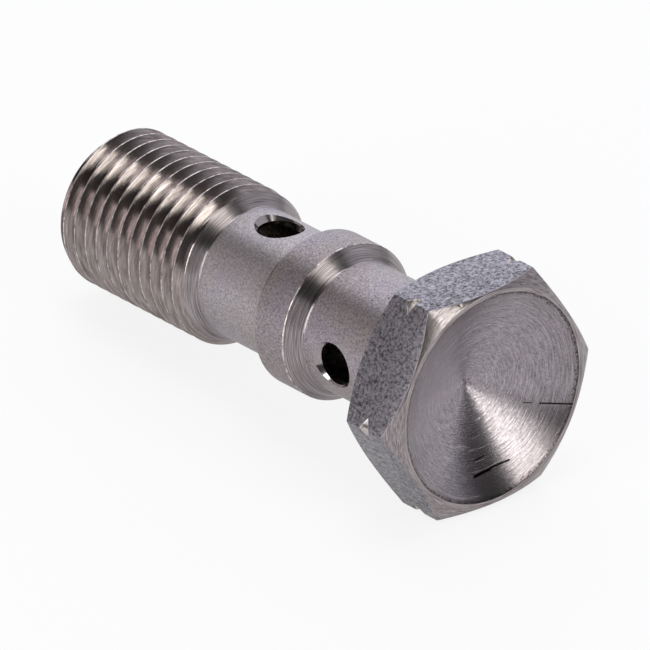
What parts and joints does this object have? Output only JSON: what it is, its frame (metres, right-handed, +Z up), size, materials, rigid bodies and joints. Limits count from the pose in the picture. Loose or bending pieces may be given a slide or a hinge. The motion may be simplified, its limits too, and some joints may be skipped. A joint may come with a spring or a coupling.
{
  "type": "banjo bolt",
  "caption": "Banjo bolt with a dished hexagon head, cross-drilled necks either side of a middle land, and a hollow fine-threaded end, lying on its side.",
  "frame": {"origin": "middle of the footprint's bounding box, on the surface that the bolt lies on", "axes": "+X from the threaded tip towards the head, +Z up; the bolt's axis lies in the XZ plane and dips about 3.8 degrees towards the tip"},
  "size_m": [0.0348, 0.0158, 0.014],
  "materials": {
    "stainless_steel": "turned, satin"
  },
  "bodies": {
    "root": {"banjo_bolt": "stainless_steel"}
  },
  "joints": []
}
